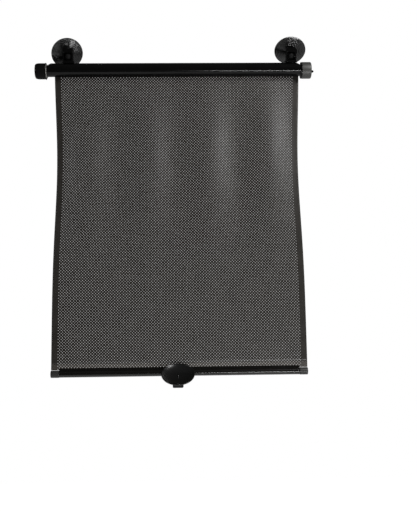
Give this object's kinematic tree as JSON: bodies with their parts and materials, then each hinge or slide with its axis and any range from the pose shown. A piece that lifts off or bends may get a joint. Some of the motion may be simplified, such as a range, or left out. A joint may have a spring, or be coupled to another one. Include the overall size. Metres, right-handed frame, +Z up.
{
  "type": "car side window sunshade",
  "caption": "Spring roller sunshade: perforated film drawn out of a tubular casing by a bar, held to the glass by suction cups.",
  "frame": {"origin": "On the roller's axis, half way along the film.", "axes": "+X to the right as seen from inside the car, +Y towards the window glass, +Z up."},
  "size_m": [0.4085, 0.0578, 0.5075],
  "materials": {
    "gloss_black": "gloss",
    "matt_grey": "matt",
    "soft_rubber": "satin",
    "dark_film": "gloss",
    "steel": "satin",
    "nylon": "matt"
  },
  "bodies": {
    "headrail": {"casing": "gloss_black", "left_end_plug": "nylon", "left_cap": "matt_grey", "right_end_plate": "gloss_black", "right_cap": "matt_grey", "spring_arbor": "steel", "rewind_spring": "steel", "pawl_pin": "steel", "pawl_spring": "steel", "film_panel": "dark_film"},
    "shade_bar": {"bottom_bar": "steel", "left_bar_cap": "gloss_black", "right_bar_cap": "gloss_black", "film_hem": "dark_film"},
    "roller": {"roller_tube": "steel", "left_hub": "nylon", "spring_drive_plug": "nylon", "ratchet_hub": "nylon", "film_roll": "dark_film", "film_clamp_strip": "nylon"},
    "release_button": {"release_pin": "gloss_black"},
    "lock_pawl": {"pawl": "nylon"},
    "left_slider": {"left_bracket": "gloss_black"},
    "right_slider": {"right_bracket": "gloss_black"},
    "left_sucker": {"left_cup": "soft_rubber"},
    "right_sucker": {"right_cup": "soft_rubber"},
    "bar_clip": {"bottom_clip": "gloss_black"},
    "bar_sucker": {"bottom_cup": "soft_rubber"}
  },
  "joints": [
    {"name": "shade_pull", "type": "slide", "parent": "headrail", "child": "shade_bar", "axis": [0, 0, 1], "range_m": [0, 0.41], "deforming": ["film_panel"]},
    {"name": "roller_spin", "type": "hinge", "parent": "headrail", "child": "roller", "pos_m": [0, 0, 0], "axis": [1, 0, 0], "range_deg": [0, 3700]},
    {"name": "release_press", "type": "slide", "parent": "headrail", "child": "release_button", "axis": [-1, 0, 0], "range_m": [0, 0.0018], "stiffness_N_per_m": 600, "springref_m": -0.001},
    {"name": "pawl_pivot", "type": "hinge", "parent": "headrail", "child": "lock_pawl", "pos_m": [0.1904, -0.00253, 0.00695], "axis": [0, 0.9397, 0.342], "range_deg": [0, 14]},
    {"name": "left_bracket_slide", "type": "slide", "parent": "headrail", "child": "left_slider", "axis": [1, 0, 0], "range_m": [-0.016, 0.13]},
    {"name": "right_bracket_slide", "type": "slide", "parent": "headrail", "child": "right_slider", "axis": [1, 0, 0], "range_m": [-0.13, 0.004]},
    {"name": "left_cup_tilt", "type": "hinge", "parent": "left_slider", "child": "left_sucker", "pos_m": [-0.1586, -0.00718, 0.01973], "axis": [1, 0, 0], "range_deg": [-12, 14]},
    {"name": "right_cup_tilt", "type": "hinge", "parent": "right_slider", "child": "right_sucker", "pos_m": [0.1674, -0.00718, 0.01973], "axis": [1, 0, 0], "range_deg": [-39, 2]},
    {"name": "bar_clip_turn", "type": "hinge", "parent": "shade_bar", "child": "bar_clip", "pos_m": [-0.0024, 0.0052, -0.4394], "axis": [1, 0, 0], "range_deg": [0, 100]},
    {"name": "bar_cup_tilt", "type": "hinge", "parent": "bar_clip", "child": "bar_sucker", "pos_m": [-0.0024, -0.01036, -0.4526], "axis": [1, 0, 0], "range_deg": [-15, 10]}
  ],
  "couplings": [
    {"joint": "roller_spin", "follows": "shade_pull", "rad_per_m": 156.25},
    {"joint": "pawl_pivot", "follows": "release_press", "rad_per_m": 121}
  ]
}
